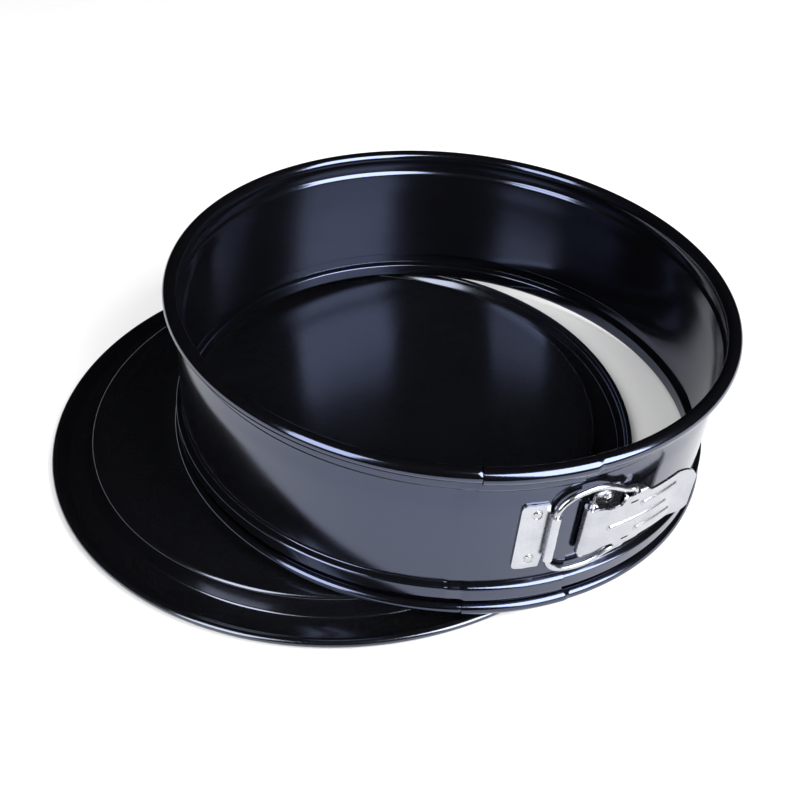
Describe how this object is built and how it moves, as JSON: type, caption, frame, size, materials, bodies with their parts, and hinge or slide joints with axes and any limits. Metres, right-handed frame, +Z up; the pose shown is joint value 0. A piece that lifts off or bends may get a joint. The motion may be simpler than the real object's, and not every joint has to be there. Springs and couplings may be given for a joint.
{
  "type": "springform pan",
  "caption": "Round springform cake pan with an unlatchable side band leaning on its wide-rimmed base; toggle latch with wire bail.",
  "frame": {"origin": "centre of the base, on the surface the base stands on", "axes": "+Z up, +X towards the side where the band hangs over the edge of the base, -Y towards the latch"},
  "size_m": [0.3394, 0.3, 0.1012],
  "materials": {
    "coating": "glossy dark non-stick coating",
    "latch_zinc": "bright satin plating",
    "wire": "bright drawn wire"
  },
  "bodies": {
    "base": {"base_plate": "coating"},
    "band_back_right": {"band_back_right": "coating"},
    "band_back_left": {"band_back_left": "coating"},
    "inner_end": {"band_front_right": "coating", "lever_bracket": "latch_zinc", "bracket_rivets": "latch_zinc"},
    "outer_end": {"band_front_left": "coating", "hinge_plate": "latch_zinc", "hinge_plate_rivets": "latch_zinc"},
    "lever": {"latch_lever": "latch_zinc"},
    "bail": {"wire_bail": "wire"}
  },
  "joints": [
    {"name": "band_lift", "type": "slide", "parent": "base", "child": "band_back_right", "axis": [0, 0, 1], "range_m": [0, 0.1]},
    {"name": "lever_swing", "type": "hinge", "parent": "inner_end", "child": "lever", "pos_m": [0.10507, -0.12456, 0.04868], "axis": [-0.068, 0.0035, -0.9977], "range_deg": [0, 90]},
    {"name": "band_flex_right", "type": "hinge", "parent": "band_back_right", "child": "inner_end", "pos_m": [0.16893, -0.06989, 0.04251], "axis": [0.068, -0.0035, 0.9977], "range_deg": [0, 1.64]},
    {"name": "band_flex_back", "type": "hinge", "parent": "band_back_right", "child": "band_back_left", "pos_m": [0.05155, 0.13395, 0.05123], "axis": [-0.068, 0.0035, -0.9977], "range_deg": [0, 1.64]},
    {"name": "band_flex_left", "type": "hinge", "parent": "band_back_left", "child": "outer_end", "pos_m": [-0.06591, -0.06989, 0.05852], "axis": [-0.068, 0.0035, -0.9977], "range_deg": [0, 1.64]},
    {"name": "bail_swing", "type": "hinge", "parent": "outer_end", "child": "bail", "pos_m": [0.09027, -0.13023, 0.04967], "axis": [-0.068, 0.0035, -0.9977], "range_deg": [0, 35.26]}
  ],
  "couplings": [
    {"joint": "band_flex_right", "follows": "lever_swing", "ratio": 0.018264},
    {"joint": "band_flex_back", "follows": "lever_swing", "ratio": 0.018264},
    {"joint": "band_flex_left", "follows": "lever_swing", "ratio": 0.018264},
    {"joint": "bail_swing", "follows": "lever_swing", "ratio": 0.3918}
  ]
}
